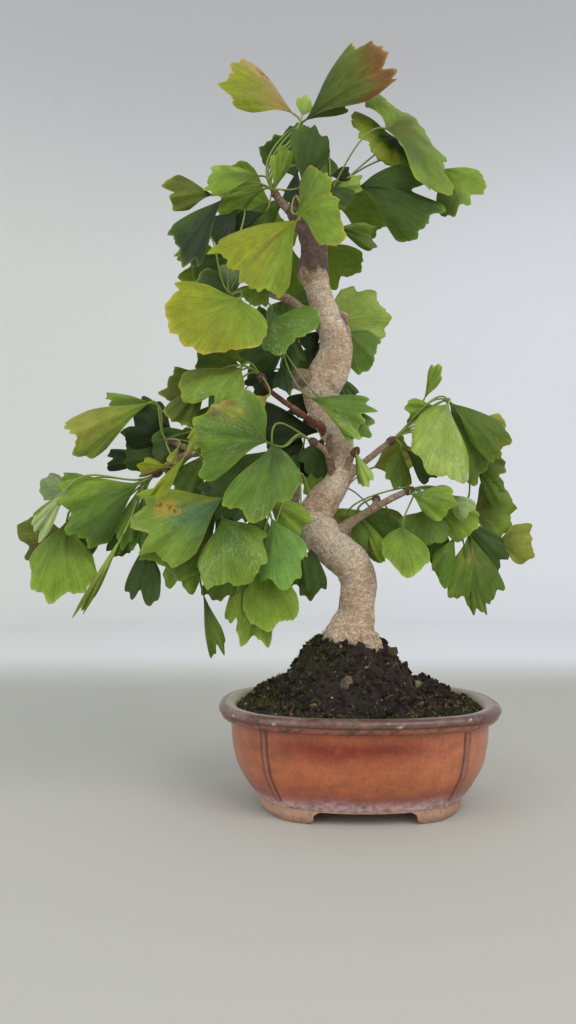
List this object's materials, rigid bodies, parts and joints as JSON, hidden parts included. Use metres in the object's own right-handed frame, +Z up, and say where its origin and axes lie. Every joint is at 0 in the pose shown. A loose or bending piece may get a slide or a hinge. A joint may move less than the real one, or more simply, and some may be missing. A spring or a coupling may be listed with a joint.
{
  "type": "potted ginkgo bonsai",
  "caption": "Small ginkgo tree with a curved trunk and fan-shaped leaves in an oval glazed bonsai pot, on four corner feet.",
  "frame": {"origin": "under the middle of the whole plant's box, on the surface that the pot's feet stand on", "axes": "+Z up along the tree, X along the pot's long side, -Y towards the front of the tree"},
  "size_m": [0.3554, 0.2076, 0.5385],
  "materials": {
    "glaze": "glossy orange-brown glaze, worn and speckled, with bare clay feet",
    "screen": "dark moulded mesh",
    "soil": "loose dark potting soil with moss and fine roots",
    "bark": "pale tan fissured bark",
    "leaf": "thin satin leaves with fine fanned veins"
  },
  "bodies": {
    "root": {"pot": "glaze", "drain_screen_left": "screen", "drain_screen_right": "screen", "soil": "soil", "wood": "bark", "leaves_crown_top": "leaf", "leaves_crown_front": "leaf", "leaves_crown_right": "leaf", "leaves_upper_left": "leaf", "leaves_mid_front": "leaf", "leaves_trunk_back": "leaf", "leaves_long_shoot": "leaf", "leaves_front_spur": "leaf", "leaves_mid_back": "leaf", "leaves_left_upper": "leaf", "leaves_left_end": "leaf", "leaves_low_left": "leaf", "leaves_low_mid": "leaf", "leaves_trunk_bud": "leaf", "leaves_right_upper": "leaf", "leaves_right_lower": "leaf", "leaves_right_far": "leaf", "leaves_right_inner": "leaf", "leaves_back_crown": "leaf", "leaves_back_upper_left": "leaf", "leaves_back_left": "leaf", "leaves_back_low": "leaf", "leaves_back_low_left": "leaf"}
  },
  "joints": []
}
